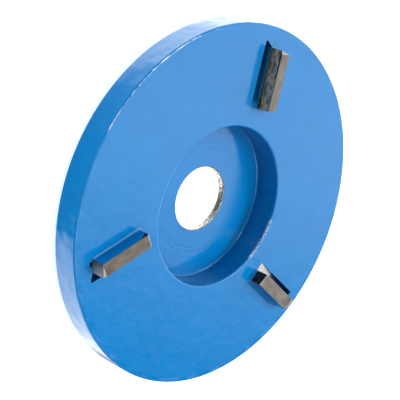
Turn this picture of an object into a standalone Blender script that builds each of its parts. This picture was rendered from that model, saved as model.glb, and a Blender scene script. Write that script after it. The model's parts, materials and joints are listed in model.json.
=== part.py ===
"""Angle grinder carving disc: a turned steel disc with three brazed carbide teeth.

The disc lies on its hub seat at z = 0 with the spindle axis on Z and the toothed face up.
A tooth is drawn in the frame of its station: Z = 0 is the disc's face, +Y runs along the
tooth towards the rim, and the rake face looks towards -X, the way the tooth cuts.
"""

import math

import bmesh
import bpy
from mathutils import Vector

MM = 0.001
GAP = 0.3 * MM

# Disc
DISC_RADIUS = 45.0 * MM
RIM_THICKNESS = 7.0 * MM
RIM_FILLET = 0.8 * MM
HUB_RAISE = 1.8 * MM
HUB_RADIUS = 25.0 * MM
HUB_CHAMFER = 0.5 * MM
RECESS_RADIUS = 20.0 * MM
RECESS_FILLET = 0.4 * MM
WEB_THICKNESS = 1.8 * MM
BORE_RADIUS = 8.0 * MM
BORE_CHAMFER = 0.2 * MM
FACE_Z = HUB_RAISE + RIM_THICKNESS
TURNED_STEPS = 96
FILLET_STEPS = 3

# Teeth
TOOTH_COUNT = 3
RAKE_X = 4.55 * MM
TOOTH_WIDTH = 3.2 * MM
TOOTH_INNER_Y = 24.8 * MM
TOOTH_OUTER_Y = 39.7 * MM
TOOTH_HEIGHT = 3.8 * MM
TOOTH_EMBED = 2.1 * MM
RELIEF_DROP = 0.4 * MM
OUTER_END_SLANT = 0.87 * MM
CORNER_BEVEL = 1.0 * MM
INNER_BEVEL = 0.4 * MM
INNER_BEVEL_DROP = 0.2 * MM

# Seat, gullet and braze
BRAZE_THICKNESS = 0.3 * MM
BRAZE_BEAD_HEIGHT = 0.5 * MM
BRAZE_BEAD_WIDTH = 0.6 * MM
SEAT_DEPTH = TOOTH_EMBED + BRAZE_THICKNESS + 2 * GAP
GULLET_X = 2.3 * MM
GULLET_INNER_Y = 24.9 * MM
GULLET_OUTER_Y = 41.4 * MM
GULLET_DEPTH = 2.2 * MM
GULLET_RAMP = 14.0 * MM
GULLET_TIP_X = 3.0 * MM
GULLET_HEEL_Y = 39.9 * MM
GULLET_CORNER_RADIUS = 0.25 * MM
GULLET_CORNER_STEPS = 2
CUTTER_HEADROOM = 1.0 * MM
SAME_PLACE = 0.001 * MM

BLUE_PAINT = (0.05, 0.24, 0.60, 1.0)
CARBIDE_GREY = (0.26, 0.24, 0.22, 1.0)
BRAZE_SILVER = (0.55, 0.52, 0.46, 1.0)
PAINT_ROUGHNESS = 0.35
CARBIDE_ROUGHNESS = 0.45
BRAZE_ROUGHNESS = 0.4


def clear_scene():
    for item in list(bpy.data.objects):
        bpy.data.objects.remove(item, do_unlink=True)


def make_material(name, colour, roughness, metallic):
    material = bpy.data.materials.new(name)
    material.use_nodes = True
    shader = material.node_tree.nodes["Principled BSDF"]
    shader.inputs["Base Color"].default_value = colour
    shader.inputs["Roughness"].default_value = roughness
    shader.inputs["Metallic"].default_value = metallic
    material.diffuse_color = colour
    return material


def add_object(name, bm, material=None, parent=None):
    mesh = bpy.data.meshes.new(name)
    bm.to_mesh(mesh)
    bm.free()
    item = bpy.data.objects.new(name, mesh)
    bpy.context.collection.objects.link(item)
    item.parent = parent
    if material is not None:
        mesh.materials.append(material)
    return item


def make_cutter(name, bm, parent):
    cutter = add_object(name, bm, parent=parent)
    cutter.hide_render = True
    cutter.display_type = "WIRE"
    return cutter


def rounded(corners):
    """Replace each (x, z, radius) corner of a closed outline by its fillet arc."""
    points = []
    for index, (x, z, radius) in enumerate(corners):
        corner = Vector((x, z))
        if radius == 0:
            points.append(corner)
            continue
        to_last = (Vector(corners[index - 1][:2]) - corner).normalized()
        to_next = (Vector(corners[(index + 1) % len(corners)][:2]) - corner).normalized()
        half_angle = to_last.angle(to_next) / 2
        centre = corner + (to_last + to_next).normalized() * radius / math.sin(half_angle)
        start = (corner + to_last * radius / math.tan(half_angle) - centre).normalized()
        end = (corner + to_next * radius / math.tan(half_angle) - centre).normalized()
        for step in range(FILLET_STEPS + 1):
            points.append(centre + start.slerp(end, step / FILLET_STEPS) * radius)
    return points


def disc_profile():
    """Half section of the disc, run from the bore over the face and down the rim."""
    web_top = WEB_THICKNESS
    return rounded([
        (BORE_RADIUS, BORE_CHAMFER, 0),
        (BORE_RADIUS, web_top - BORE_CHAMFER, 0),
        (BORE_RADIUS + BORE_CHAMFER, web_top, 0),
        (RECESS_RADIUS, web_top, RECESS_FILLET),
        (RECESS_RADIUS, FACE_Z, RECESS_FILLET),
        (DISC_RADIUS, FACE_Z, RIM_FILLET),
        (DISC_RADIUS, HUB_RAISE, RIM_FILLET),
        (HUB_RADIUS, HUB_RAISE, 0),
        (HUB_RADIUS, HUB_CHAMFER, 0),
        (HUB_RADIUS - HUB_CHAMFER, 0, 0),
        (BORE_RADIUS + BORE_CHAMFER, 0, 0),
    ])


def make_disc_body(material):
    bm = bmesh.new()
    verts = [bm.verts.new((point.x, 0, point.y)) for point in disc_profile()]
    for index, vert in enumerate(verts):
        bm.edges.new((verts[index - 1], vert))
    disc = add_object("disc_body", bm, material)
    turn = disc.modifiers.new("turn", "SCREW")
    turn.axis = "Z"
    turn.angle = math.tau
    turn.steps = TURNED_STEPS
    turn.render_steps = TURNED_STEPS
    turn.use_merge_vertices = True
    turn.merge_threshold = 0.01 * MM
    return disc


def make_prism(outline, depth):
    """Extrude a closed outline of 3D points by the vector depth."""
    bm = bmesh.new()
    face = bm.faces.new([bm.verts.new(point) for point in outline])
    grown = bmesh.ops.extrude_face_region(bm, geom=[face])["geom"]
    moved = [item for item in grown if isinstance(item, bmesh.types.BMVert)]
    bmesh.ops.translate(bm, verts=moved, vec=depth)
    bmesh.ops.recalc_face_normals(bm, faces=bm.faces)
    return bm


def grind(bm, point, normal):
    """Cut away everything on the normal's side of a plane and close the cut."""
    geometry = bm.verts[:] + bm.edges[:] + bm.faces[:]
    cut = bmesh.ops.bisect_plane(
        bm, geom=geometry, dist=1e-7, plane_co=point, plane_no=normal, clear_outer=True
    )["geom_cut"]
    rim = [item for item in cut if isinstance(item, bmesh.types.BMEdge)]
    bmesh.ops.contextual_create(bm, geom=rim)
    bmesh.ops.recalc_face_normals(bm, faces=bm.faces)


def plane_normal(first, second, third):
    normal = (second - first).cross(third - first).normalized()
    return normal if normal.z > 0 else -normal


def tooth_mesh():
    back_x = RAKE_X + TOOTH_WIDTH
    outline = [
        (RAKE_X, TOOTH_INNER_Y, -TOOTH_EMBED),
        (back_x, TOOTH_INNER_Y, -TOOTH_EMBED),
        (back_x, TOOTH_OUTER_Y - OUTER_END_SLANT, -TOOTH_EMBED),
        (RAKE_X, TOOTH_OUTER_Y, -TOOTH_EMBED),
    ]
    bm = make_prism(outline, (0, 0, TOOTH_EMBED + TOOTH_HEIGHT))

    rake_edge = Vector((RAKE_X, TOOTH_OUTER_Y - CORNER_BEVEL, TOOTH_HEIGHT))
    outer_tip = Vector((RAKE_X, TOOTH_OUTER_Y, TOOTH_HEIGHT - RELIEF_DROP))
    back_corner = Vector((back_x, TOOTH_OUTER_Y - OUTER_END_SLANT, TOOTH_HEIGHT - RELIEF_DROP))
    grind(bm, rake_edge, (RELIEF_DROP, 0, TOOTH_WIDTH))
    grind(bm, rake_edge, plane_normal(rake_edge, outer_tip, back_corner))

    inner_edge = Vector((RAKE_X, TOOTH_INNER_Y, TOOTH_HEIGHT - INNER_BEVEL_DROP))
    inner_back = inner_edge + Vector((TOOTH_WIDTH, 0, -RELIEF_DROP))
    bevel_top = Vector((RAKE_X, TOOTH_INNER_Y + INNER_BEVEL, TOOTH_HEIGHT))
    grind(bm, inner_edge, plane_normal(inner_edge, inner_back, bevel_top))
    return bm


def braze_mesh():
    """An L of braze under and behind the insert, with a bead along the face."""
    start_y = TOOTH_INNER_Y + GAP
    length = TOOTH_OUTER_Y - OUTER_END_SLANT - GAP - start_y
    front_x = RAKE_X + GAP
    inside_x = RAKE_X + TOOTH_WIDTH + GAP
    outside_x = inside_x + BRAZE_THICKNESS
    top_z = -TOOTH_EMBED - GAP
    bottom_z = top_z - BRAZE_THICKNESS
    outline = [
        (front_x, start_y, bottom_z),
        (outside_x, start_y, bottom_z),
        (outside_x, start_y, GAP),
        (outside_x + BRAZE_BEAD_WIDTH, start_y, GAP),
        (inside_x, start_y, GAP + BRAZE_BEAD_HEIGHT),
        (inside_x, start_y, top_z),
        (front_x, start_y, top_z),
    ]
    return make_prism(outline, (0, length, 0))


def seat_mesh():
    front_x = RAKE_X - GAP
    back_x = RAKE_X + TOOTH_WIDTH + BRAZE_THICKNESS + 2 * GAP
    inner_y = TOOTH_INNER_Y - GAP
    outer_y = TOOTH_OUTER_Y + GAP
    outline = [
        (front_x, inner_y, -SEAT_DEPTH),
        (back_x, inner_y, -SEAT_DEPTH),
        (back_x, outer_y, -SEAT_DEPTH),
        (front_x, outer_y, -SEAT_DEPTH),
    ]
    return make_prism(outline, (0, 0, SEAT_DEPTH + CUTTER_HEADROOM))


def gullet_mesh():
    """A slot whose floor ramps down from its inner end to a slanted wall at its outer end."""
    outline = [
        (GULLET_X, GULLET_INNER_Y, CUTTER_HEADROOM),
        (GULLET_X, GULLET_INNER_Y, 0),
        (GULLET_X, GULLET_INNER_Y + GULLET_RAMP, -GULLET_DEPTH),
        (GULLET_X, GULLET_OUTER_Y, -GULLET_DEPTH),
        (GULLET_X, GULLET_OUTER_Y, CUTTER_HEADROOM),
    ]
    bm = make_prism(outline, (RAKE_X - GULLET_X, 0, 0))
    heel = Vector((RAKE_X, GULLET_HEEL_Y, 0))
    tip = Vector((GULLET_TIP_X, GULLET_OUTER_Y, 0))
    grind(bm, heel, (tip.y - heel.y, heel.x - tip.x, 0))

    end_corners = [
        edge for edge in bm.edges
        if all(abs(vert.co.y - GULLET_OUTER_Y) < SAME_PLACE for vert in edge.verts)
        and abs(edge.verts[0].co.x - edge.verts[1].co.x) < SAME_PLACE
    ]
    bmesh.ops.bevel(
        bm, geom=end_corners, offset=GULLET_CORNER_RADIUS, segments=GULLET_CORNER_STEPS,
        profile=0.5, affect="EDGES"
    )
    return bm


def make_station(index):
    """An empty on the disc's face that carries one tooth's frame."""
    station = bpy.data.objects.new(f"station_{index + 1}", None)
    bpy.context.collection.objects.link(station)
    station.location = (0, 0, FACE_Z)
    station.rotation_euler = (0, 0, math.tau * index / TOOTH_COUNT)
    return station


def cut_disc(disc, cutter):
    cut = disc.modifiers.new(cutter.name, "BOOLEAN")
    cut.operation = "DIFFERENCE"
    cut.solver = "EXACT"
    cut.object = cutter


def build():
    clear_scene()
    paint = make_material("blue_paint", BLUE_PAINT, PAINT_ROUGHNESS, 0.0)
    carbide = make_material("ground_carbide", CARBIDE_GREY, CARBIDE_ROUGHNESS, 1.0)
    braze = make_material("braze_metal", BRAZE_SILVER, BRAZE_ROUGHNESS, 1.0)

    disc = make_disc_body(paint)
    for index in range(TOOTH_COUNT):
        station = make_station(index)
        number = index + 1
        cut_disc(disc, make_cutter(f"seat_cutter_{number}", seat_mesh(), station))
        cut_disc(disc, make_cutter(f"gullet_cutter_{number}", gullet_mesh(), station))
        add_object(f"carbide_tooth_{number}", tooth_mesh(), carbide, station)
        add_object(f"braze_joint_{number}", braze_mesh(), braze, station)
    disc.modifiers.new("flat_faces", "WEIGHTED_NORMAL")
    bpy.context.view_layer.update()


build()
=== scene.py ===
"""The looks of the angle grinder carving disc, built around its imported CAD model.

Lengths are in metres and angles in degrees. The disc lies on its hub with the spindle axis on
Z. Each tooth has a station frame: Z = 0 is the disc's face, +Y runs along the tooth towards
the rim, +X points at the tooth's back, and the rake face looks towards -X.
"""

import json
import math
import random

import bmesh
import bpy
from mathutils import Matrix, Vector


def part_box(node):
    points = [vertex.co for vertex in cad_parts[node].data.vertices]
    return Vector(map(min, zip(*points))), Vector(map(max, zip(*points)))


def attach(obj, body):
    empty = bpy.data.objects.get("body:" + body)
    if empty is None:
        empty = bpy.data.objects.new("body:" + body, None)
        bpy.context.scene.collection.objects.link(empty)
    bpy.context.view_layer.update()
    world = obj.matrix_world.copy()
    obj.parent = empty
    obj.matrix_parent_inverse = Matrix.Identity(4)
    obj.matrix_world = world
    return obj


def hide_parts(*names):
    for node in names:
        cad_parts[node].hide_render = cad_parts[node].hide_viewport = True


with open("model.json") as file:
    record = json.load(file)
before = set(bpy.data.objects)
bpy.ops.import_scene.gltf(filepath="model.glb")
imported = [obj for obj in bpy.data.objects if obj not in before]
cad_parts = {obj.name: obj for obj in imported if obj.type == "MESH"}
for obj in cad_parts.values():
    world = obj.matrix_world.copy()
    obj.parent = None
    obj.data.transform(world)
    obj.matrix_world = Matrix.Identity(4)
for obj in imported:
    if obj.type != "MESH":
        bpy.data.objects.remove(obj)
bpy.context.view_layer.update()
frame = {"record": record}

MM = 0.001
MOUNTS = {mount["name"]: mount for mount in frame["record"]["mounts"]}

# Disc, from the frame where the frame says it
DISC_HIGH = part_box("disc_body")[1]
DISC_RADIUS = DISC_HIGH.x
FACE_Z = DISC_HIGH.z
WEB_Z = MOUNTS["nut_seat"]["pos_m"][2]
RIM_BACK_Z = WEB_Z  # the rim's back is level with the recess floor
HUB_RADIUS = 25.0 * MM
HUB_CHAMFER = 0.5 * MM
RECESS_RADIUS = 20.0 * MM
BORE_RADIUS = 8.0 * MM
BORE_CHAMFER = 0.2 * MM
RIM_FILLET = 0.5 * MM
EDGE_FILLET = 0.4 * MM
TURN_STEPS = 192
ARC_STEPS = 7
DISC_SMOOTH_ANGLE = 32

# Turning grooves on the recess floor
GROOVE_START = 9.0 * MM
GROOVE_END = 14.8 * MM
GROOVE_PITCH = 0.62 * MM
GROOVE_DEPTH = 0.028 * MM
GROOVE_SEED = 7
# The section of one groove: share of its pitch, share of its depth
GROOVE_SHAPE = ((0.0, 0.0), (0.3, 0.5), (0.55, 1.0), (0.8, 0.5))

# Teeth, in their station frames
TOOTH_LOW, TOOTH_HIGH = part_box("carbide_tooth_1")
TOOTH_COUNT = 3
OPEN_END_TOOTH = 1  # index of the tooth whose bead leaves its outer end open
BARE_RAMP_TOOTH = 2  # index of the tooth whose gullet has lost its paint
RAKE_X = TOOTH_LOW.x
BACK_X = TOOTH_HIGH.x
TOOTH_INNER_Y = TOOTH_LOW.y
TOOTH_OUTER_Y = TOOTH_HIGH.y
TOOTH_TOP = TOOTH_HIGH.z - FACE_Z
TOOTH_BOTTOM = TOOTH_LOW.z - FACE_Z
RELIEF_DROP = 0.4 * MM
END_SLANT = 0.87 * MM
CORNER_BEVEL = 1.0 * MM
INNER_BEVEL = 0.4 * MM
INNER_BEVEL_DROP = 0.2 * MM
TOOTH_EDGE = 0.07 * MM
METAL_SMOOTH_ANGLE = 40

# Seat and braze
SEAT_SLACK = 0.05 * MM
SEAT_END_GAP = 0.12 * MM
BRAZE_THICKNESS = 0.35 * MM
BRAZE_TOP = -0.25 * MM
BRAZE_EDGE = 0.03 * MM
SEAT_FLOOR = TOOTH_BOTTOM - BRAZE_THICKNESS

# Gullets, with an outer end for each tooth. The end wall slants from the heel at the rake face
# to the tip.
GULLET_X = 2.3 * MM
GULLET_INNER_Y = 24.9 * MM
GULLET_OUTER_YS = (41.1 * MM, 40.7 * MM, 41.4 * MM)
GULLET_DEPTH = 2.2 * MM
GULLET_RAMP = 14.0 * MM
GULLET_CORNER = 0.25 * MM
GULLET_TIP_X = 3.0 * MM
GULLET_HEEL_Y = 39.9 * MM

# The pit beside the open end. Its middle lies along that end from the rake face, and out from it.
PIT_DEPTH = 1.1 * MM
PIT_LENGTH = 1.6 * MM
PIT_WIDTH = 0.80 * MM
PIT_ALONG = 2.25 * MM
PIT_OUT = 0.62 * MM

# Painted beads at the teeth's feet. Each has its own size, which wanders along the bead: every
# step pulls it part of the way to a random share between the least and the most.
FILLET_HEIGHT = 0.34 * MM
FILLET_WIDTH = 0.55 * MM
FILLET_SIZES = (1.0, 1.0, 0.55)
FILLET_LEAST = 0.8
FILLET_MOST = 1.25
FILLET_PULL = 0.35
FILLET_SPACING = 0.25 * MM
FILLET_TURN_STEPS = 6
FILLET_ARC_STEPS = 6
FILLET_SINK = 0.12 * MM
FILLET_OVERLAP = 0.03 * MM
FILLET_SMOOTH_ANGLE = 50
FILLET_SEED = 20

# Cutting
CUTTER_TOP = 1.0 * MM  # over the face
SAME_PLACE = 0.001 * MM
PLANE_TOLERANCE = 0.0001 * MM

# Paint
BLUE = (0.001, 0.21, 0.57, 1.0)
# SHADE_BLUE is painted shade, not a colour of the paint: it darkens the gullets, the recess's wall
# and the rake's foot.
SHADE_BLUE = (0.002, 0.006, 0.045, 1.0)
PEEL_HEIGHT = 0.05 * MM
PAINT_THICKNESS = 0.05 * MM

# Dark and light tone of each insert's ground land, and of the small bevels at its ends. The lands
# are one ground carbide; their three sets of tones are painted light and shade for how each land
# catches the light.
LAND_TONES_LIT_AND_SHADED = (
    ((0.085, 0.077, 0.068, 1.0), (0.175, 0.160, 0.147, 1.0)),
    ((0.080, 0.068, 0.056, 1.0), (0.155, 0.132, 0.109, 1.0)),
    ((0.25, 0.222, 0.200, 1.0), (0.33, 0.298, 0.275, 1.0)),
)
BEVEL_TONES = ((0.24, 0.225, 0.21, 1.0), (0.42, 0.40, 0.38, 1.0))

FLOOR_SIZE = 3.0
FLOOR_DROP = 0.02 * MM  # under the hub, so that the two faces don't coincide

# Soft lights: azimuth, elevation, angles of full and of no light from the middle, strength.
# Azimuth 0 is -Y and 90 is +X.
GLOWS = (
    (112, 40, 24, 37, 1.62),
    (120, 60, 7, 11, 9.0),
    (14, 66, 6, 14, 4.5),
    (205, 80, 12, 42, 0.95),
    (0, 30, 10, 50, 0.5),
    (84, 0, 12, 34, 2.4),
    (0, -45, 25, 39, 2.45),
    (128, -45, 29, 58, 2.7),
    (180, -30, 20, 60, 0.35),
    (225, 47, 4, 8, 12.0),
    (262, 18, 12, 42, 0.28),
    (0, 90, 179, 180, 0.05),
)


# ---------------------------------------------------------------- mesh helpers

def new_piece(name, bm, materials, replaced=()):
    """A new object from a mesh and the CAD nodes that it replaces."""
    mesh = bpy.data.meshes.new(name)
    bm.to_mesh(mesh)
    bm.free()
    for material in materials:
        mesh.materials.append(material)
    piece = bpy.data.objects.new(name, mesh)
    bpy.context.collection.objects.link(piece)
    if replaced:
        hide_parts(*replaced)
    return piece


def round_shading(piece, angle):
    """Shade smooth, but for edges sharper than angle, and keep flat faces looking flat."""
    piece.data.shade_smooth()
    piece.data.set_sharp_from_angle(angle=math.radians(angle))
    weighted = piece.modifiers.new("flat_faces", "WEIGHTED_NORMAL")
    weighted.keep_sharp = True


def station_matrix(index):
    """From a tooth's station frame to the disc's."""
    turn = Matrix.Rotation(math.tau * index / TOOTH_COUNT, 4, "Z")
    return turn @ Matrix.Translation((0, 0, FACE_Z))


def rounded(corners):
    """Replace each (x, z, radius) corner of a closed outline by its fillet arc."""
    points = []
    for index, (x, z, radius) in enumerate(corners):
        corner = Vector((x, z))
        if radius == 0:
            points.append(corner)
            continue
        to_last = (Vector(corners[index - 1][:2]) - corner).normalized()
        to_next = (Vector(corners[(index + 1) % len(corners)][:2]) - corner).normalized()
        half_angle = to_last.angle(to_next) / 2
        centre = corner + (to_last + to_next).normalized() * radius / math.sin(half_angle)
        start = (corner + to_last * radius / math.tan(half_angle) - centre).normalized()
        end = (corner + to_next * radius / math.tan(half_angle) - centre).normalized()
        for step in range(ARC_STEPS + 1):
            points.append(centre + start.slerp(end, step / ARC_STEPS) * radius)
    return points


def prism(outline, depth):
    """Extrude a closed outline of 3D points by the vector depth."""
    bm = bmesh.new()
    face = bm.faces.new([bm.verts.new(point) for point in outline])
    grown = bmesh.ops.extrude_face_region(bm, geom=[face])["geom"]
    moved = [item for item in grown if isinstance(item, bmesh.types.BMVert)]
    bmesh.ops.translate(bm, verts=moved, vec=depth)
    bmesh.ops.recalc_face_normals(bm, faces=bm.faces)
    return bm


def grind(bm, point, normal):
    """Cut away everything on the normal's side of a plane and close the cut."""
    geometry = bm.verts[:] + bm.edges[:] + bm.faces[:]
    cut = bmesh.ops.bisect_plane(
        bm, geom=geometry, dist=PLANE_TOLERANCE,
        plane_co=point, plane_no=normal, clear_outer=True
    )["geom_cut"]
    rim = [item for item in cut if isinstance(item, bmesh.types.BMEdge)]
    bmesh.ops.contextual_create(bm, geom=rim)
    bmesh.ops.recalc_face_normals(bm, faces=bm.faces)


def plane_normal(first, second, third):
    """The upward normal of the plane through three points."""
    normal = (second - first).cross(third - first).normalized()
    return normal if normal.z > 0 else -normal


def merge(target, source, matrix):
    """Move source by matrix and add it to target, which uses it up."""
    source.transform(matrix)
    mesh = bpy.data.meshes.new("merged")
    source.to_mesh(mesh)
    source.free()
    target.from_mesh(mesh)
    bpy.data.meshes.remove(mesh)


# ---------------------------------------------------------------- disc

def groove_points():
    """The recess floor from the bore outwards, with the shallow grooves of the turning tool."""
    draw = random.Random(GROOVE_SEED)
    points = []
    radius = GROOVE_START
    while radius < GROOVE_END:
        pitch = GROOVE_PITCH * draw.uniform(0.75, 1.25)
        depth = GROOVE_DEPTH * draw.uniform(0.3, 1.0)
        for share, drop in GROOVE_SHAPE:
            points.append(Vector((radius + share * pitch, WEB_Z - depth * drop)))
        radius += pitch
    return points


def disc_profile():
    """Half section of the disc: up the recess's wall, over the face, down the rim, under the hub
    to the bore, and out along the recess's grooved floor.
    """
    outline = rounded([
        (RECESS_RADIUS, WEB_Z, EDGE_FILLET),
        (RECESS_RADIUS, FACE_Z, EDGE_FILLET),
        (DISC_RADIUS, FACE_Z, RIM_FILLET),
        (DISC_RADIUS, RIM_BACK_Z, RIM_FILLET),
        (HUB_RADIUS, RIM_BACK_Z, 0),
        (HUB_RADIUS, HUB_CHAMFER, 0),
        (HUB_RADIUS - HUB_CHAMFER, 0, 0),
        (BORE_RADIUS + BORE_CHAMFER, 0, 0),
        (BORE_RADIUS, BORE_CHAMFER, 0),
        (BORE_RADIUS, WEB_Z - BORE_CHAMFER, 0),
        (BORE_RADIUS + BORE_CHAMFER, WEB_Z, 0),
    ])
    return outline + groove_points()


def turned(profile, steps):
    """Turn a closed (radius, height) outline round Z."""
    bm = bmesh.new()
    rings = []
    for step in range(steps):
        angle = math.tau * step / steps
        outward = Vector((math.cos(angle), math.sin(angle)))
        rings.append([bm.verts.new((*(outward * point.x), point.y)) for point in profile])
    for ring, following in zip(rings, rings[1:] + rings[:1]):
        for index in range(len(profile)):
            bm.faces.new((ring[index - 1], following[index - 1], following[index], ring[index]))
    bmesh.ops.recalc_face_normals(bm, faces=bm.faces)
    return bm


def seat_cutter():
    """The pocket of the insert and its braze, a thin gap wider than both."""
    front_x = RAKE_X - SEAT_SLACK
    back_x = BACK_X + BRAZE_THICKNESS
    inner_y = TOOTH_INNER_Y - SEAT_SLACK
    outline = [
        (front_x, inner_y, SEAT_FLOOR),
        (back_x, inner_y, SEAT_FLOOR),
        (back_x, TOOTH_OUTER_Y - END_SLANT + SEAT_END_GAP, SEAT_FLOOR),
        (front_x, TOOTH_OUTER_Y + SEAT_END_GAP, SEAT_FLOOR),
    ]
    return prism(outline, (0, 0, CUTTER_TOP - SEAT_FLOOR))


def gullet_cutter(outer_y):
    """A slot whose floor ramps down from its inner end to a slanted wall at its outer end."""
    outline = [
        (GULLET_X, GULLET_INNER_Y, CUTTER_TOP),
        (GULLET_X, GULLET_INNER_Y, 0),
        (GULLET_X, GULLET_INNER_Y + GULLET_RAMP, -GULLET_DEPTH),
        (GULLET_X, outer_y, -GULLET_DEPTH),
        (GULLET_X, outer_y, CUTTER_TOP),
    ]
    bm = prism(outline, (RAKE_X - GULLET_X, 0, 0))
    heel = Vector((RAKE_X, GULLET_HEEL_Y, 0))
    tip = Vector((GULLET_TIP_X, outer_y, 0))
    grind(bm, heel, (tip.y - heel.y, heel.x - tip.x, 0))
    end_corners = [
        edge for edge in bm.edges
        if all(abs(vert.co.y - outer_y) < SAME_PLACE for vert in edge.verts)
        and abs(edge.verts[0].co.x - edge.verts[1].co.x) < SAME_PLACE
    ]
    bmesh.ops.bevel(
        bm, geom=end_corners, offset=GULLET_CORNER, segments=4, profile=0.5, affect="EDGES"
    )
    return bm


def pit_cutter():
    """A small oval pit in the disc, where the braze has left it open along a tooth's outer end."""
    end_run = Vector((BACK_X - RAKE_X, -END_SLANT, 0)).normalized()
    outward = Vector((-end_run.y, end_run.x, 0))
    middle = Vector((RAKE_X, TOOTH_OUTER_Y, -PIT_DEPTH)) + end_run * PIT_ALONG + outward * PIT_OUT
    outline = []
    for step in range(2 * ARC_STEPS):
        angle = math.pi * (step + 0.5) / ARC_STEPS
        along = end_run * PIT_LENGTH / 2 * math.cos(angle)
        across = outward * PIT_WIDTH / 2 * math.sin(angle)
        outline.append(middle + along + across)
    return prism(outline, (0, 0, PIT_DEPTH + CUTTER_TOP))


def cut(piece, cutters):
    """Cut shapes out of a piece: one for each station index in cutters."""
    merged = bmesh.new()
    for index, cutter in cutters.items():
        merge(merged, cutter, station_matrix(index))
    mesh = bpy.data.meshes.new("cutter")
    merged.to_mesh(mesh)
    merged.free()
    cutter = bpy.data.objects.new("cutter", mesh)
    bpy.context.collection.objects.link(cutter)
    boolean = piece.modifiers.new("cut", "BOOLEAN")
    boolean.operation = "DIFFERENCE"
    boolean.solver = "EXACT"
    boolean.object = cutter
    graph = bpy.context.evaluated_depsgraph_get()
    result = bpy.data.meshes.new_from_object(piece.evaluated_get(graph))
    piece.modifiers.remove(boolean)
    bpy.data.objects.remove(cutter, do_unlink=True)
    piece.data = result


def is_bare_bore(centre):
    """True on the wall of the bore and on its two chamfers."""
    return math.hypot(centre.x, centre.y) < BORE_RADIUS + BORE_CHAMFER and centre.z < WEB_Z


def is_bare_ramp(centre):
    """True on the run-out ramp of the one gullet whose ramp has lost its paint."""
    local = station_matrix(BARE_RAMP_TOOTH).inverted() @ centre
    beside_tooth = GULLET_X < local.x < RAKE_X
    on_ramp = GULLET_INNER_Y < local.y < GULLET_INNER_Y + GULLET_RAMP
    return beside_tooth and on_ramp and -GULLET_DEPTH < local.z < 0


def make_disc(paint, bare_steel, ramp_steel):
    """The painted disc, with its seats, gullets and pit, and bare metal in the bore."""
    bm = turned(disc_profile(), TURN_STEPS)
    materials = [paint, bare_steel, ramp_steel]
    disc = new_piece("painted_disc", bm, materials, ["disc_body"])
    cut(disc, {index: seat_cutter() for index in range(TOOTH_COUNT)})
    cut(disc, {index: gullet_cutter(outer_y) for index, outer_y in enumerate(GULLET_OUTER_YS)})
    cut(disc, {OPEN_END_TOOTH: pit_cutter()})
    for face in disc.data.polygons:
        face.material_index = 0
        if is_bare_bore(face.center):
            face.material_index = 1
        if is_bare_ramp(face.center) and face.normal.z > 0.5:
            face.material_index = 2
    round_shading(disc, DISC_SMOOTH_ANGLE)
    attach(disc, "root")


# ---------------------------------------------------------------- teeth and braze

def tooth_mesh():
    """A block with a slanted outer end, a land that falls to the back and bevelled edge ends."""
    outline = [
        (RAKE_X, TOOTH_INNER_Y, TOOTH_BOTTOM),
        (BACK_X, TOOTH_INNER_Y, TOOTH_BOTTOM),
        (BACK_X, TOOTH_OUTER_Y - END_SLANT, TOOTH_BOTTOM),
        (RAKE_X, TOOTH_OUTER_Y, TOOTH_BOTTOM),
    ]
    bm = prism(outline, (0, 0, TOOTH_TOP - TOOTH_BOTTOM))
    rake_edge = Vector((RAKE_X, TOOTH_OUTER_Y - CORNER_BEVEL, TOOTH_TOP))
    outer_tip = Vector((RAKE_X, TOOTH_OUTER_Y, TOOTH_TOP - RELIEF_DROP))
    back_corner = Vector((BACK_X, TOOTH_OUTER_Y - END_SLANT, TOOTH_TOP - RELIEF_DROP))
    grind(bm, rake_edge, (RELIEF_DROP, 0, BACK_X - RAKE_X))
    grind(bm, rake_edge, plane_normal(rake_edge, outer_tip, back_corner))
    inner_edge = Vector((RAKE_X, TOOTH_INNER_Y, TOOTH_TOP - INNER_BEVEL_DROP))
    inner_back = inner_edge + Vector((BACK_X - RAKE_X, 0, -RELIEF_DROP))
    bevel_top = Vector((RAKE_X, TOOTH_INNER_Y + INNER_BEVEL, TOOTH_TOP))
    grind(bm, inner_edge, plane_normal(inner_edge, inner_back, bevel_top))
    return bm


def tooth_side(normal):
    """Which of a tooth's materials a face takes, from the way it looks in the station frame."""
    if normal.z > 0.3:
        return "bevel" if abs(normal.y) > 0.2 else "ground"
    if normal.x < -0.9:
        return "rake"
    if normal.x > 0.9:
        return "back"
    if normal.y > 0.5:
        return "outer_end"
    return "inner_end"


def make_tooth(index, materials):
    """An insert with softened edges; materials says what each of its sides is made of."""
    names = list(materials)
    bm = tooth_mesh()
    for face in bm.faces:
        face.material_index = names.index(tooth_side(face.normal))
    bmesh.ops.bevel(
        bm, geom=bm.edges[:], offset=TOOTH_EDGE, segments=2, profile=0.5,
        affect="EDGES", material=names.index("ground")
    )
    number = index + 1
    tooth = new_piece(
        f"carbide_insert_{number}", bm, materials.values(), [f"carbide_tooth_{number}"]
    )
    tooth.matrix_world = station_matrix(index)
    round_shading(tooth, METAL_SMOOTH_ANGLE)
    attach(tooth, "root")


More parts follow.
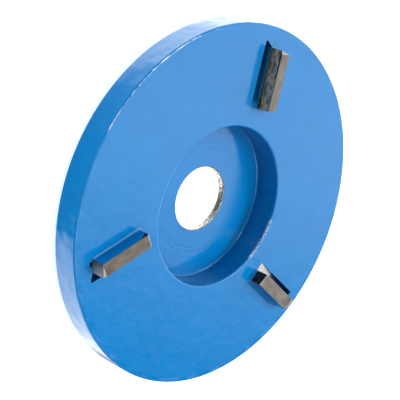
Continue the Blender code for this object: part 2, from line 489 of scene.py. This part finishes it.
def make_braze(index, material):
    """The L of brazing metal under and behind an insert, filling its seat."""
    outline = [
        (RAKE_X, TOOTH_INNER_Y, SEAT_FLOOR),
        (BACK_X + BRAZE_THICKNESS, TOOTH_INNER_Y, SEAT_FLOOR),
        (BACK_X + BRAZE_THICKNESS, TOOTH_INNER_Y, BRAZE_TOP),
        (BACK_X, TOOTH_INNER_Y, BRAZE_TOP),
        (BACK_X, TOOTH_INNER_Y, TOOTH_BOTTOM),
        (RAKE_X, TOOTH_INNER_Y, TOOTH_BOTTOM),
    ]
    bm = prism(outline, (0, TOOTH_OUTER_Y - TOOTH_INNER_Y, 0))
    grind(bm, Vector((RAKE_X, TOOTH_OUTER_Y, 0)), (END_SLANT, BACK_X - RAKE_X, 0))
    bmesh.ops.bevel(bm, geom=bm.edges[:], offset=BRAZE_EDGE, segments=2, affect="EDGES")
    number = index + 1
    braze = new_piece(
        f"braze_layer_{number}", bm, [material], [f"braze_joint_{number}"]
    )
    braze.matrix_world = station_matrix(index)
    round_shading(braze, METAL_SMOOTH_ANGLE)
    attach(braze, "root")


def fillet_path(index):
    """The foot of a tooth's outer end, back and inner end, as (point, outward direction) pairs.

    On the tooth with the open end the bead leaves that end out.
    """
    backward = Vector((1, 0))
    inner_corner = Vector((BACK_X, TOOTH_INNER_Y))
    outer_corner = Vector((BACK_X, TOOTH_OUTER_Y - END_SLANT))
    outer_tip = Vector((RAKE_X, TOOTH_OUTER_Y))
    end_run = outer_corner - outer_tip
    end_out = Vector((-end_run.y, end_run.x)).normalized()
    path = []
    if index != OPEN_END_TOOTH:
        end_steps = round(end_run.length / FILLET_SPACING)
        for step in range(end_steps):
            path.append((outer_tip + end_run * step / end_steps, end_out))
        for step in range(FILLET_TURN_STEPS):
            path.append((outer_corner, end_out.slerp(backward, step / FILLET_TURN_STEPS)))
    for step in range(round((outer_corner.y - inner_corner.y) / FILLET_SPACING)):
        path.append((outer_corner - Vector((0, step * FILLET_SPACING)), backward))
    for step in range(FILLET_TURN_STEPS):
        angle = -math.pi / 2 * step / FILLET_TURN_STEPS
        path.append((inner_corner, Vector((math.cos(angle), math.sin(angle)))))
    for step in range(round((BACK_X - RAKE_X) / FILLET_SPACING) + 1):
        path.append((inner_corner - Vector((step * FILLET_SPACING, 0)), Vector((0, -1))))
    return path


def fillet_section(swell):
    """The bead's outline across, as (distance out from the tooth, height) pairs."""
    width = FILLET_WIDTH * swell
    height = FILLET_HEIGHT * swell
    section = [(0.0, -FILLET_SINK), (-FILLET_OVERLAP, height)]
    for step in range(FILLET_ARC_STEPS + 1):
        angle = math.pi / 2 * step / FILLET_ARC_STEPS
        section.append((width * (1 - math.cos(angle)), height * (1 - math.sin(angle))))
    section.append((width, -FILLET_SINK))
    return section


def make_fillet(index, enamel):
    """The concave bead where paint has built up over the braze at a tooth's foot."""
    draw = random.Random(FILLET_SEED + index)
    bm = bmesh.new()
    rings = []
    wander = 1.0
    for point, outward in fillet_path(index):
        wander += FILLET_PULL * (draw.uniform(FILLET_LEAST, FILLET_MOST) - wander)
        section = fillet_section(wander * FILLET_SIZES[index])
        rings.append([
            bm.verts.new((*(point + outward * offset), height)) for offset, height in section
        ])
    for ring, following in zip(rings, rings[1:]):
        for step in range(len(ring)):
            bm.faces.new((ring[step - 1], ring[step], following[step], following[step - 1]))
    bm.faces.new(rings[0])
    bm.faces.new(rings[-1])
    bmesh.ops.recalc_face_normals(bm, faces=bm.faces)
    fillet = new_piece(f"paint_fillet_{index + 1}", bm, [enamel])
    fillet.matrix_world = station_matrix(index)
    round_shading(fillet, FILLET_SMOOTH_ANGLE)
    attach(fillet, "root")


# ---------------------------------------------------------------- materials
#
# Colours are linear, and lengths in the graphs are in millimetres, as Graph.place gives them.
# The disc's coordinates are the row's own, and the pieces at a tooth have its station frame.

class Graph:
    """Short calls that build a node tree."""

    def __init__(self, tree):
        self.tree = tree

    def node(self, kind, inputs, **settings):
        """A node with its settings made first, because they decide which inputs it has."""
        node = self.tree.nodes.new(kind)
        for name, value in settings.items():
            setattr(node, name, value)
        for name, value in inputs.items():
            self.feed(node.inputs[name], value)
        return node

    def add(self, kind, inputs, output=0, **settings):
        return self.node(kind, inputs, **settings).outputs[output]

    def feed(self, socket, value):
        if isinstance(value, bpy.types.NodeSocket):
            self.tree.links.new(value, socket)
        else:
            socket.default_value = value

    def place(self, stretch=(1, 1, 1)):
        """Object coordinates in millimetres, stretched along each axis."""
        coordinates = self.add("ShaderNodeTexCoord", {}, output="Object")
        scale = [factor / MM for factor in stretch]
        return self.add("ShaderNodeMapping", {"Vector": coordinates, "Scale": scale})

    def axes(self):
        split = self.node("ShaderNodeSeparateXYZ", {0: self.place()})
        return split.outputs[0], split.outputs[1], split.outputs[2]

    def noise(self, vector, wavelength, detail=2.0, roughness=0.5):
        return self.add("ShaderNodeTexNoise", {
            "Vector": vector, "Scale": 1 / wavelength, "Detail": detail, "Roughness": roughness,
        })

    def math(self, operation, first, second=0.0):
        return self.add("ShaderNodeMath", {0: first, 1: second}, operation=operation)

    def product(self, first, *others):
        for other in others:
            first = self.math("MULTIPLY", first, other)
        return first

    def waver(self, value, noise, swing):
        """A value that a noise moves by up to half of swing each way."""
        centred = self.math("SUBTRACT", noise, 0.5)
        return self.math("ADD", value, self.math("MULTIPLY", centred, swing))

    def remap(self, value, low, high, to_low=0.0, to_high=1.0):
        """Smoothly go from to_low at low to to_high at high."""
        return self.add("ShaderNodeMapRange", {
            "Value": value, "From Min": low, "From Max": high,
            "To Min": to_low, "To Max": to_high,
        }, interpolation_type="SMOOTHSTEP")

    def window(self, value, centre, half_width, softness):
        """One near centre, falling to zero beyond half_width."""
        distance = self.math("ABSOLUTE", self.math("SUBTRACT", value, centre))
        return self.remap(distance, half_width, half_width + softness, 1.0, 0.0)

    def mix(self, factor, first, second, kind="RGBA"):
        """From first at factor 0 to second at factor 1, as colours or, with kind FLOAT, values."""
        inputs = {"Factor": factor, "A": first, "B": second}
        return self.add("ShaderNodeMix", inputs, output="Result", data_type=kind)

    def bump(self, height, distance, below=None):
        """The normal of a relief, distance high for a height of one, on top of the one below."""
        inputs = {"Height": height, "Strength": 1.0, "Distance": distance}
        if below is not None:
            inputs["Normal"] = below
        return self.add("ShaderNodeBump", inputs)


class Surface(Graph):
    """A new material, with constant values for its shader's own sockets."""

    def __init__(self, name, **shader_values):
        self.material = bpy.data.materials.new(name)
        self.material.use_nodes = True
        super().__init__(self.material.node_tree)
        self.shader = self.tree.nodes["Principled BSDF"]
        for socket, value in shader_values.items():
            self.feed(self.shader.inputs[socket.replace("_", " ")], value)

    def finish(self, colour, roughness=None, metallic=None, normal=None):
        """The material, once its shader has been given what isn't None."""
        sockets = {
            "Base Color": colour, "Roughness": roughness, "Metallic": metallic, "Normal": normal,
        }
        for name, value in sockets.items():
            if value is not None:
                self.feed(self.shader.inputs[name], value)
        return self.material


def shade(colour, factor):
    """A darker or lighter tone of a colour."""
    return (*(value * factor for value in colour[:3]), 1.0)


def enamel_colour(graph, place):
    """Blue that drifts a little in depth over the part, with a fine mottle."""
    pale = (0.02, 0.25, 0.62, 1.0)
    drift = graph.remap(graph.noise(place, 9.0, detail=2.0), 0.3, 0.7)
    broad = graph.mix(drift, shade(BLUE, 0.97), shade(BLUE, 1.03))
    mottle = graph.remap(graph.noise(place, 1.7, detail=3.0), 0.35, 0.65, 0.0, 0.10)
    return graph.mix(mottle, broad, pale)


def enamel_height(graph, place):
    """Orange peel on a slow waviness, with a little dust in it."""
    wave = graph.noise(place, 3.2, detail=1.0)
    peel = graph.noise(place, 0.9, detail=1.0)
    dust = graph.noise(place, 0.25, detail=1.0)
    fine = graph.math("ADD", graph.math("MULTIPLY", peel, 0.30), graph.math("MULTIPLY", dust, 0.06))
    return graph.math("ADD", wave, fine)


def enamel_roughness(graph, place):
    """A gloss that varies a little from place to place."""
    return graph.remap(graph.noise(place, 2.6, detail=3.0), 0.3, 0.7, 0.08, 0.12)


def polar(graph):
    """Distance from the spindle axis, angle around it, and height over the disc's face."""
    x, y, z = graph.axes()
    squares = graph.math("ADD", graph.math("MULTIPLY", x, x), graph.math("MULTIPLY", y, y))
    radius = graph.math("SQRT", squares)
    angle = graph.math("ARCTAN2", y, x)
    height = graph.math("SUBTRACT", z, FACE_Z / MM)
    return radius, angle, height


def rim_runs(graph, place):
    """Runs and thick spots in the paint on the rim and its edges."""
    radius, _, _ = polar(graph)
    rim_radius = DISC_RADIUS / MM
    amount = graph.remap(radius, rim_radius - 1.4, rim_radius - 0.2, 0.0, 6.0)
    runs = graph.noise(place, 4.5, detail=1.0)
    return graph.product(amount, graph.math("SUBTRACT", runs, 0.5))


def gullet_shade(graph):
    """Painted shade below the face, in the ring that holds the teeth: the gullets and the pit
    darkened as if in shadow.
    """
    radius, _, height = polar(graph)
    ring = graph.window(radius, 33.0, 9.0, 0.5)
    below_face = graph.remap(height, -0.35, -0.01, 0.8, 0.0)
    return graph.product(ring, below_face)


def wall_shade(graph, place):
    """Painted shade in streaks on the recess's wall, below its mouth."""
    radius, _, height = polar(graph)
    wall = graph.window(radius, RECESS_RADIUS / MM, 0.10, 0.20)
    below_mouth = graph.remap(height, -0.8, -0.4, 1.0, 0.0)
    streaks = graph.noise(place, 0.7, detail=4.0, roughness=0.7)
    amount = graph.remap(streaks, 0.35, 0.65, 0.08, 0.34)
    return graph.product(wall, below_mouth, amount)


def mouth_chips(graph, place):
    """Where the paint has chipped off the recess's mouth beside the third tooth."""
    radius, angle, height = polar(graph)
    sector = graph.window(angle, math.radians(-25), math.radians(14), math.radians(7))
    edge = graph.window(radius, RECESS_RADIUS / MM + 0.10, 0.10, 0.45)
    upper = graph.remap(height, -0.7, -0.4)
    reach = graph.product(sector, edge, upper)
    grain = graph.noise(place, 0.24, detail=3.0, roughness=0.7)
    raised = graph.math("ADD", grain, graph.math("MULTIPLY", reach, 0.17))
    chipped = graph.remap(raised, 0.66, 0.68)
    return graph.product(chipped, graph.remap(reach, 0.0, 0.1))


def rim_edge_highlight(graph, place):
    """A painted highlight: a pale broken line on the rim's front edge, between the first two teeth.
    """
    radius, angle, height = polar(graph)
    sector = graph.window(angle, math.radians(137), math.radians(19), math.radians(6))
    edge = graph.window(radius, DISC_RADIUS / MM - 0.26, 0.07, 0.12)
    front = graph.remap(height, -0.25, -0.15)
    reach = graph.product(sector, edge, front)
    broken = graph.noise(place, 2.6, detail=5.0, roughness=0.7)
    raised = graph.math("ADD", broken, graph.math("MULTIPLY", reach, 0.5))
    return graph.remap(raised, 0.88, 1.08, 0.0, 0.9)


def dust_specks(graph, place):
    """A few pale specks on the paint: one in about twenty cells, which are 5 mm wide."""
    cells = graph.node("ShaderNodeTexVoronoi", {"Vector": place, "Scale": 1 / 5.0})
    lot = graph.node("ShaderNodeSeparateColor", {0: cells.outputs["Color"]})
    chosen = graph.remap(lot.outputs[0], 0.95, 0.96)
    near = graph.remap(cells.outputs["Distance"], 0.015, 0.040, 1.0, 0.0)
    return graph.math("MULTIPLY", chosen, near)


def blue_enamel():
    """The disc's paint, with its runs, specks and chips, painted shade in the gullets and on the
    recess's wall, and a painted highlight on the rim's front edge.
    """
    speck = (0.40, 0.60, 0.80, 1.0)
    highlight_blue = (0.70, 0.86, 0.96, 1.0)
    bare = (0.86, 0.93, 0.97, 1.0)
    graph = Surface("blue_enamel")
    place = graph.place()
    chips = mouth_chips(graph, place)
    # Painted shade in the gullets and on the recess's wall.
    recess_shade = graph.math("MAXIMUM", gullet_shade(graph), wall_shade(graph, place))
    colour = graph.mix(recess_shade, enamel_colour(graph, place), SHADE_BLUE)
    colour = graph.mix(dust_specks(graph, place), colour, speck)
    # Painted highlight along the rim's front edge.
    colour = graph.mix(rim_edge_highlight(graph, place), colour, highlight_blue)
    colour = graph.mix(chips, colour, bare)
    roughness = graph.mix(chips, enamel_roughness(graph, place), 0.45, "FLOAT")
    metallic = graph.math("MULTIPLY", chips, 0.25)
    height = graph.math("ADD", enamel_height(graph, place), rim_runs(graph, place))
    peel = graph.bump(height, PEEL_HEIGHT)
    normal = graph.bump(chips, -PAINT_THICKNESS, below=peel)
    return graph.finish(colour, roughness, metallic, normal)


def bead_enamel():
    """The same paint, without the painted shade, painted highlight, specks and chips of the disc's
    paint, where it has run over the braze at a tooth's foot.
    """
    graph = Surface("bead_enamel", Roughness=0.36)
    place = graph.place()
    peel = graph.bump(enamel_height(graph, place), PEEL_HEIGHT)
    return graph.finish(enamel_colour(graph, place), normal=peel)


def bare_bore():
    """Turned and torn steel: bright and dark grains, never painted."""
    dark = (0.10, 0.085, 0.07, 1.0)
    bright = (0.80, 0.77, 0.72, 1.0)
    graph = Surface("bare_bore_steel")
    grain = graph.noise(graph.place(), 0.40, detail=4.0, roughness=0.65)
    colour = graph.mix(graph.remap(grain, 0.38, 0.62), dark, bright)
    roughness = graph.remap(grain, 0.35, 0.65, 0.55, 0.30)
    return graph.finish(colour, roughness, 0.9, graph.bump(grain, 0.12 * MM))


def bare_ramp():
    """The third tooth's gullet floor: bright where the cutter ran out, then painted in dark navy, a
    painted shade that deepens along the gullet.
    """
    dull = (0.40, 0.38, 0.36, 1.0)
    bright = (0.80, 0.78, 0.75, 1.0)
    shallow_shade = (0.02, 0.09, 0.26, 1.0)
    deepest_shade = (0.003, 0.012, 0.05, 1.0)
    graph = Surface("bare_ramp_steel")
    place = graph.place()
    turn = math.tau * BARE_RAMP_TOOTH / TOOTH_COUNT
    x, y, _ = graph.axes()
    along_y = graph.math("MULTIPLY", y, math.cos(turn))
    along_x = graph.math("MULTIPLY", x, math.sin(turn))
    along = graph.math("SUBTRACT", along_y, along_x)
    ragged = graph.noise(place, 1.1, detail=4.0, roughness=0.6)
    painted = graph.remap(graph.waver(along, ragged, 4.0), 31.6, 32.0)
    streaks = graph.noise(place, 0.30, detail=3.0)
    bare = graph.mix(graph.remap(streaks, 0.35, 0.65), dull, bright)
    ramp_shade = graph.mix(graph.remap(along, 31.0, 36.0), shallow_shade, deepest_shade)
    colour = graph.mix(painted, bare, ramp_shade)
    metallic = graph.remap(painted, 0.0, 1.0, 0.25, 0.0)
    return graph.finish(colour, 0.42, metallic, graph.bump(streaks, 0.03 * MM))


def ground_carbide(name, dark, light):
    """A ground face: fine lines along the tooth and a tone that varies from dark to light."""
    graph = Surface(name)
    lines = graph.noise(graph.place((1, 0.06, 1)), 0.14, detail=3.0)
    blotch = graph.noise(graph.place((1, 0.5, 1)), 1.6, detail=2.0)
    tone = graph.math("ADD", graph.math("MULTIPLY", lines, 0.4), graph.math("MULTIPLY", blotch, 0.6))
    colour = graph.mix(graph.remap(tone, 0.35, 0.65), dark, light)
    roughness = graph.remap(blotch, 0.3, 0.7, 0.36, 0.50)
    return graph.finish(colour, roughness, 0.8, graph.bump(lines, 0.010 * MM))


def stained_carbide(graph, height):
    """Colour of the rake face: steel grey in streaks, heat-stained brown towards the foot."""
    dark_grey = (0.11, 0.105, 0.085, 1.0)
    light_grey = (0.52, 0.48, 0.39, 1.0)
    dark_brown = (0.12, 0.085, 0.035, 1.0)
    light_brown = (0.54, 0.40, 0.21, 1.0)
    patches = graph.noise(graph.place((1, 0.45, 1)), 0.8, detail=4.0, roughness=0.65)
    tint = graph.noise(graph.place((1, 0.5, 1)), 2.0, detail=2.0)
    tone = graph.remap(patches, 0.36, 0.64)
    grey = graph.mix(tone, dark_grey, light_grey)
    brown = graph.mix(tone, dark_brown, light_brown)
    warmth = graph.math("ADD", tint, graph.remap(height, 0.3, 2.6, 0.14, -0.06))
    return graph.mix(graph.remap(warmth, 0.46, 0.62), grey, brown)


def rake_paint(graph, place, z):
    """Paint on the rake's foot: painted shade down in the gullet, and just above it a pale band that
    is a painted highlight.
    """
    pale = (0.04, 0.36, 0.52, 1.0)
    pale_highlight = graph.window(z, 0.02, 0.08, 0.16)
    low_shade = graph.remap(z, -1.5, 0.0, 0.8, 0.0)
    shaded_foot = graph.mix(low_shade, enamel_colour(graph, place), SHADE_BLUE)
    return graph.mix(pale_highlight, shaded_foot, pale)


def rake_black_and_edge_shade(graph, height):
    """Black along the rake's foot, widest at the inner end, and painted shade along its cutting
    edge.
    """
    _, y, z = graph.axes()
    width = graph.remap(y, 25.0, 32.5, 0.52, 0.10)
    foot = graph.remap(graph.math("SUBTRACT", height, width), 0.20, 0.34, 1.0, 0.0)
    low_edge = graph.remap(y, 30.0, 39.5, 3.48, 3.12)
    edge = graph.remap(graph.math("SUBTRACT", z, low_edge), 0.0, 0.14, 0.0, 0.92)
    return graph.math("MAXIMUM", foot, edge)


def stained_rake():
    """The face that cuts: painted foot, a black line, then bare stained carbide with painted shade
    at its cutting edge.
    """
    black_and_shade = (0.004, 0.004, 0.006, 1.0)
    graph = Surface("stained_rake")
    place = graph.place()
    _, _, z = graph.axes()
    ragged = graph.noise(graph.place((1, 0.6, 1)), 0.8, detail=4.0, roughness=0.6)
    height = graph.waver(z, ragged, 0.7)
    bare = graph.remap(height, 0.12, 0.22)
    metal = graph.mix(rake_black_and_edge_shade(graph, height), stained_carbide(graph, height), black_and_shade)
    colour = graph.mix(bare, rake_paint(graph, place, z), metal)
    lines = graph.noise(graph.place((1, 0.1, 1)), 0.16, detail=3.0)
    roughness = graph.mix(bare, 0.36, graph.remap(lines, 0.3, 0.7, 0.40, 0.55), "FLOAT")
    metallic = graph.math("MULTIPLY", bare, 0.15)
    grain = graph.bump(lines, 0.012 * MM)
    normal = graph.bump(bare, -PAINT_THICKNESS, below=grain)
    return graph.finish(colour, roughness, metallic, normal)


def ground_end():
    """A tooth's outer end, ground in fine upright lines, with painted shade that darkens it towards
    the back.
    """
    light = (0.52, 0.49, 0.44, 1.0)
    dark = (0.13, 0.13, 0.145, 1.0)
    graph = Surface("ground_end")
    x, _, _ = graph.axes()
    lines = graph.noise(graph.place((1, 1, 0.1)), 0.22, detail=3.0)
    across = graph.remap(graph.math("ADD", x, graph.math("MULTIPLY", lines, 1.6)), 5.0, 8.8)
    colour = graph.mix(across, light, dark)
    roughness = graph.remap(lines, 0.3, 0.7, 0.35, 0.50)
    return graph.finish(colour, roughness, 0.35, graph.bump(lines, 0.010 * MM))


def black_end():
    """A tooth's inner end, black above a painted foot."""
    blackest = (0.002, 0.002, 0.003, 1.0)
    near_black = (0.020, 0.022, 0.028, 1.0)
    graph = Surface("black_end")
    place = graph.place()
    _, _, z = graph.axes()
    ragged = graph.noise(place, 0.9, detail=4.0, roughness=0.6)
    bare = graph.remap(graph.waver(z, ragged, 0.8), 0.30, 0.42)
    tone = graph.remap(graph.noise(place, 0.5, detail=3.0), 0.45, 0.75)
    black = graph.mix(tone, blackest, near_black)
    colour = graph.mix(bare, enamel_colour(graph, place), black)
    roughness = graph.remap(tone, 0.0, 1.0, 0.70, 0.45)
    return graph.finish(colour, roughness, normal=graph.bump(bare, -PAINT_THICKNESS))


def painted_back():
    """A tooth's back, painted up to its edge but for a black corner at the inner end."""
    black = (0.003, 0.003, 0.006, 1.0)
    graph = Surface("painted_back")
    place = graph.place()
    _, y, z = graph.axes()
    ragged = graph.math("MULTIPLY", graph.noise(place, 0.5, detail=3.0), 0.3)
    slant = graph.math("MULTIPLY", graph.math("SUBTRACT", y, 24.8), 0.6)
    corner = graph.math("SUBTRACT", graph.math("ADD", z, ragged), slant)
    bare = graph.remap(corner, 2.08, 2.16)
    colour = graph.mix(bare, enamel_colour(graph, place), black)
    roughness = graph.mix(bare, enamel_roughness(graph, place), 0.6, "FLOAT")
    peel = graph.bump(enamel_height(graph, place), PEEL_HEIGHT)
    normal = graph.bump(bare, -PAINT_THICKNESS, below=peel)
    return graph.finish(colour, roughness, normal=normal)


def braze_metal():
    """Lumpy brazing metal, the colour of brass gone grey."""
    dull = (0.22, 0.19, 0.14, 1.0)
    bright = (0.66, 0.60, 0.48, 1.0)
    graph = Surface("braze_metal")
    lumps = graph.noise(graph.place(), 0.6, detail=3.0)
    colour = graph.mix(graph.remap(lumps, 0.35, 0.65), dull, bright)
    roughness = graph.remap(lumps, 0.3, 0.7, 0.48, 0.28)
    return graph.finish(colour, roughness, 1.0, graph.bump(lumps, 0.06 * MM))


def pale_floor():
    """A nearly white ground that shines a little, so that it doesn't grey off in the picture."""
    dark = (0.76, 0.76, 0.76, 1.0)
    light = (0.80, 0.80, 0.80, 1.0)
    graph = Surface("pale_floor", Emission_Color=(1.0, 1.0, 1.0, 1.0), Emission_Strength=0.76)
    tone = graph.noise(graph.place(), 90.0, detail=1.0)
    colour = graph.mix(graph.remap(tone, 0.3, 0.7), dark, light)
    return graph.finish(colour, 0.7)


# ---------------------------------------------------------------- studio

def make_floor():
    """The pale ground under the disc. It lights the paint but isn't mirrored in it."""
    bpy.ops.mesh.primitive_plane_add(size=FLOOR_SIZE, location=(0, 0, -FLOOR_DROP))
    floor = bpy.context.object
    floor.name = "floor"
    floor.visible_glossy = False
    floor.data.materials.append(pale_floor())


def direction(azimuth, elevation):
    """Unit vector towards a compass direction, with azimuth 0 along -Y and 90 along +X."""
    a = math.radians(azimuth)
    e = math.radians(elevation)
    return Vector((math.sin(a) * math.cos(e), -math.cos(a) * math.cos(e), math.sin(e)))


def make_camera():
    """The camera looks at the disc from its left and is rolled to set tooth 1 upright."""
    aim = Vector((-7.59 * MM, 1.67 * MM, FACE_Z))
    distance = 347.63 * MM
    roll = math.radians(113.23)
    back = direction(azimuth=-104.91, elevation=41.17)
    level = (-back).cross(Vector((0, 0, 1))).normalized()
    raised = level.cross(-back)
    right = math.cos(roll) * level + math.sin(roll) * raised
    up = back.cross(right)
    turn = Matrix((right, up, back)).transposed().to_4x4()
    data = bpy.data.cameras.new("camera")
    data.lens = 132.83
    data.sensor_width = 36.0
    data.clip_start = 1.0 * MM
    camera = bpy.data.objects.new("camera", data)
    camera.matrix_world = Matrix.Translation(aim + back * distance) @ turn
    bpy.context.collection.objects.link(camera)
    bpy.context.scene.camera = camera


def make_surroundings():
    """Light from all round: each glow is a soft-edged round patch of sky."""
    world = bpy.data.worlds.new("studio")
    world.use_nodes = True
    graph = Graph(world.node_tree)
    coordinates = graph.add("ShaderNodeTexCoord", {}, output="Generated")
    total = 0.0
    for azimuth, elevation, inner, outer, strength in GLOWS:
        nearness = graph.add(
            "ShaderNodeVectorMath", {0: coordinates, 1: direction(azimuth, elevation)},
            output="Value", operation="DOT_PRODUCT",
        )
        dark_from = math.cos(math.radians(outer))
        full_from = math.cos(math.radians(inner))
        glow = graph.remap(nearness, dark_from, full_from, 0.0, strength)
        total = graph.math("ADD", total, glow)
    background = world.node_tree.nodes["Background"]
    background.inputs["Color"].default_value = (1.0, 1.0, 1.0, 1.0)
    graph.feed(background.inputs["Strength"], total)
    bpy.context.scene.world = world


def build():
    """The disc, its three teeth, and the studio round them."""
    make_disc(blue_enamel(), bare_bore(), bare_ramp())
    sides = {
        "rake": stained_rake(),
        "back": painted_back(),
        "outer_end": ground_end(),
        "inner_end": black_end(),
        "bevel": ground_carbide("ground_bevel", *BEVEL_TONES),
    }
    braze = braze_metal()
    bead = bead_enamel()
    for index, tones in enumerate(LAND_TONES_LIT_AND_SHADED):
        land = ground_carbide(f"ground_land_{index + 1}", *tones)
        make_tooth(index, {"ground": land, **sides})
        make_braze(index, braze)
        make_fillet(index, bead)
    make_floor()
    make_surroundings()
    make_camera()
    bpy.context.scene.view_settings.view_transform = "Standard"


build()
